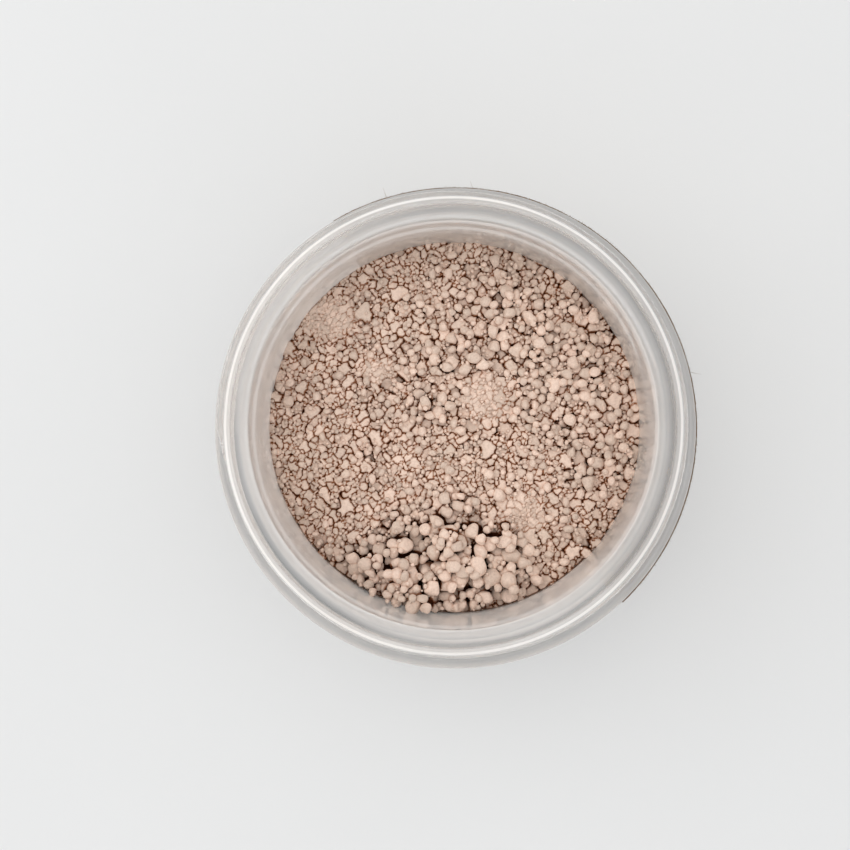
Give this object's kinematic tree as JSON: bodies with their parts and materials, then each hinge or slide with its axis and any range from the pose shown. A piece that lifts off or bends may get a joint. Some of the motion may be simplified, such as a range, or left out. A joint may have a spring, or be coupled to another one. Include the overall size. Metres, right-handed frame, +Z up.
{
  "type": "screw-neck glass jar of powder",
  "caption": "Open straight-sided glass jar with a screw neck, part filled with granular powder, with a paper label round part of its body.",
  "frame": {"origin": "centre of the jar's base, on the surface that it stands on", "axes": "+Z up along the jar's axis; -Y towards the front, where the coarse lumps lie; +X right"},
  "size_m": [0.0769, 0.0769, 0.074],
  "materials": {
    "glass": "clear, smooth, with a faint film of powder inside",
    "label": "uncoated kraft paper",
    "powder": "matt, dusty, granular"
  },
  "bodies": {
    "root": {"jar_glass": "glass", "kraft_label": "label", "powder_bed": "powder", "coarse_granules": "powder", "medium_granules": "powder"}
  },
  "joints": []
}
